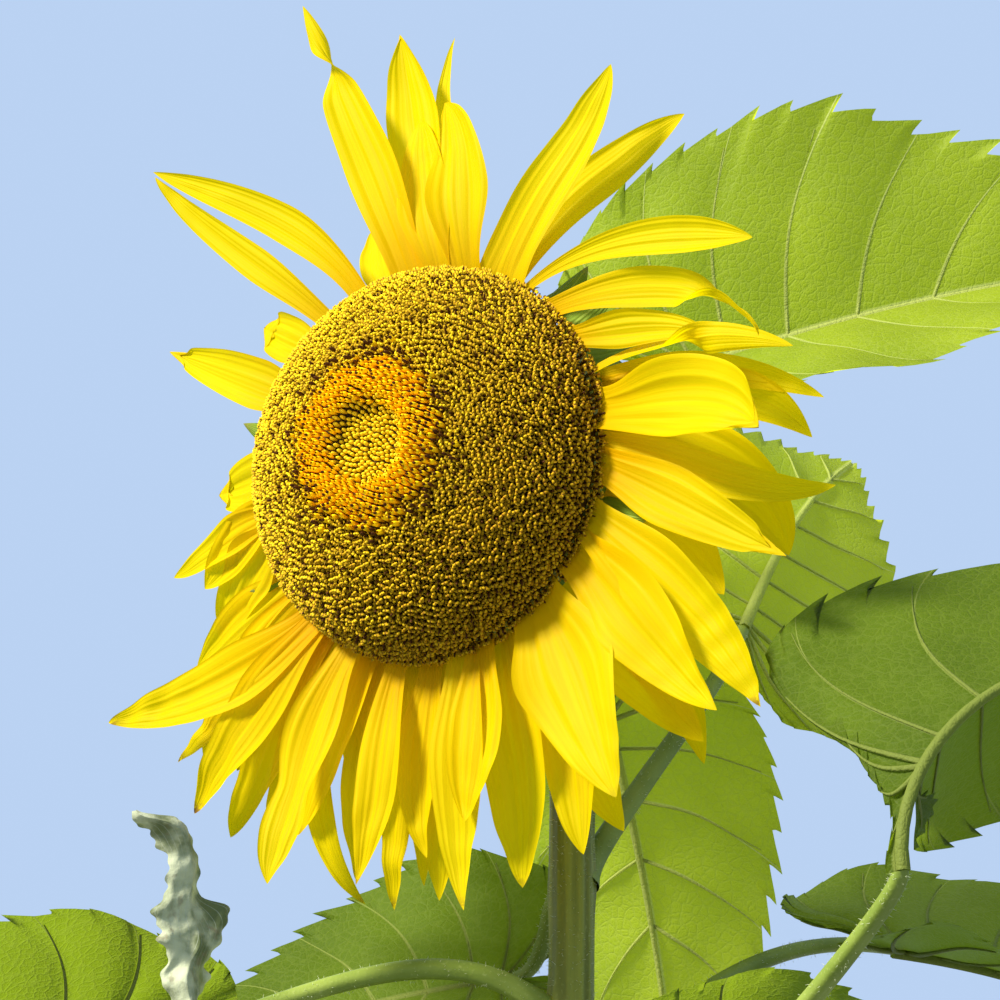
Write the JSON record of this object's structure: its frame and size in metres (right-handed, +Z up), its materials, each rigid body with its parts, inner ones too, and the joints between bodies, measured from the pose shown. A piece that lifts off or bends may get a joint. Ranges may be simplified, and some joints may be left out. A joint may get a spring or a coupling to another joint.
{
  "type": "sunflower plant",
  "caption": "Tall rooted sunflower: an upright stem with long-stalked heart-shaped leaves and one large nodding flower head with loose yellow rays round a domed golden disc.",
  "frame": {"origin": "middle of the stem's flat cut at ground level", "axes": "+Z up along the stem; the flower head faces -Y, turned towards -X"},
  "size_m": [0.7663, 0.7933, 2.0105],
  "materials": {
    "stem_green": "green stem, ribbed and bristly",
    "bract_green": "green bracts and fleshy back of the head, satin",
    "leaf_green": "living leaf, satin, rough with raised veins",
    "leaf_withered": "dry grey-green crumpled leaf, matt",
    "ray_yellow": "thin yellow petals, satin, finely grooved",
    "disc_gold": "packed golden florets, matt and grainy"
  },
  "bodies": {
    "root": {"disc": "disc_gold", "leaf_01": "leaf_green", "leaf_02": "leaf_green", "leaf_03": "leaf_green", "leaf_04": "leaf_green", "leaf_05": "leaf_green", "leaf_06": "leaf_green", "leaf_07": "leaf_green", "leaf_08": "leaf_green", "leaf_09": "leaf_green", "leaf_10": "leaf_green", "leaf_11": "leaf_green", "leaf_12": "leaf_green", "leaf_13": "leaf_green", "leaf_14": "leaf_green", "leaf_withered": "leaf_withered", "neck": "stem_green", "petiole_01": "stem_green", "petiole_02": "stem_green", "petiole_03": "stem_green", "petiole_04": "stem_green", "petiole_05": "stem_green", "petiole_06": "stem_green", "petiole_07": "stem_green", "petiole_08": "stem_green", "petiole_09": "stem_green", "petiole_10": "stem_green", "petiole_11": "stem_green", "petiole_12": "stem_green", "petiole_13": "stem_green", "petiole_14": "stem_green", "petiole_withered": "stem_green", "ray_01": "ray_yellow", "ray_02": "ray_yellow", "ray_03": "ray_yellow", "ray_04": "ray_yellow", "ray_05": "ray_yellow", "ray_06": "ray_yellow", "ray_07": "ray_yellow", "ray_08": "ray_yellow", "ray_09": "ray_yellow", "ray_10": "ray_yellow", "ray_11": "ray_yellow", "ray_12": "ray_yellow", "ray_13": "ray_yellow", "ray_14": "ray_yellow", "ray_15": "ray_yellow", "ray_16": "ray_yellow", "ray_17": "ray_yellow", "ray_18": "ray_yellow", "ray_19": "ray_yellow", "ray_20": "ray_yellow", "ray_21": "ray_yellow", "ray_22": "ray_yellow", "ray_23": "ray_yellow", "ray_24": "ray_yellow", "ray_25": "ray_yellow", "ray_26": "ray_yellow", "receptacle": "bract_green", "stem": "stem_green"}
  },
  "joints": []
}
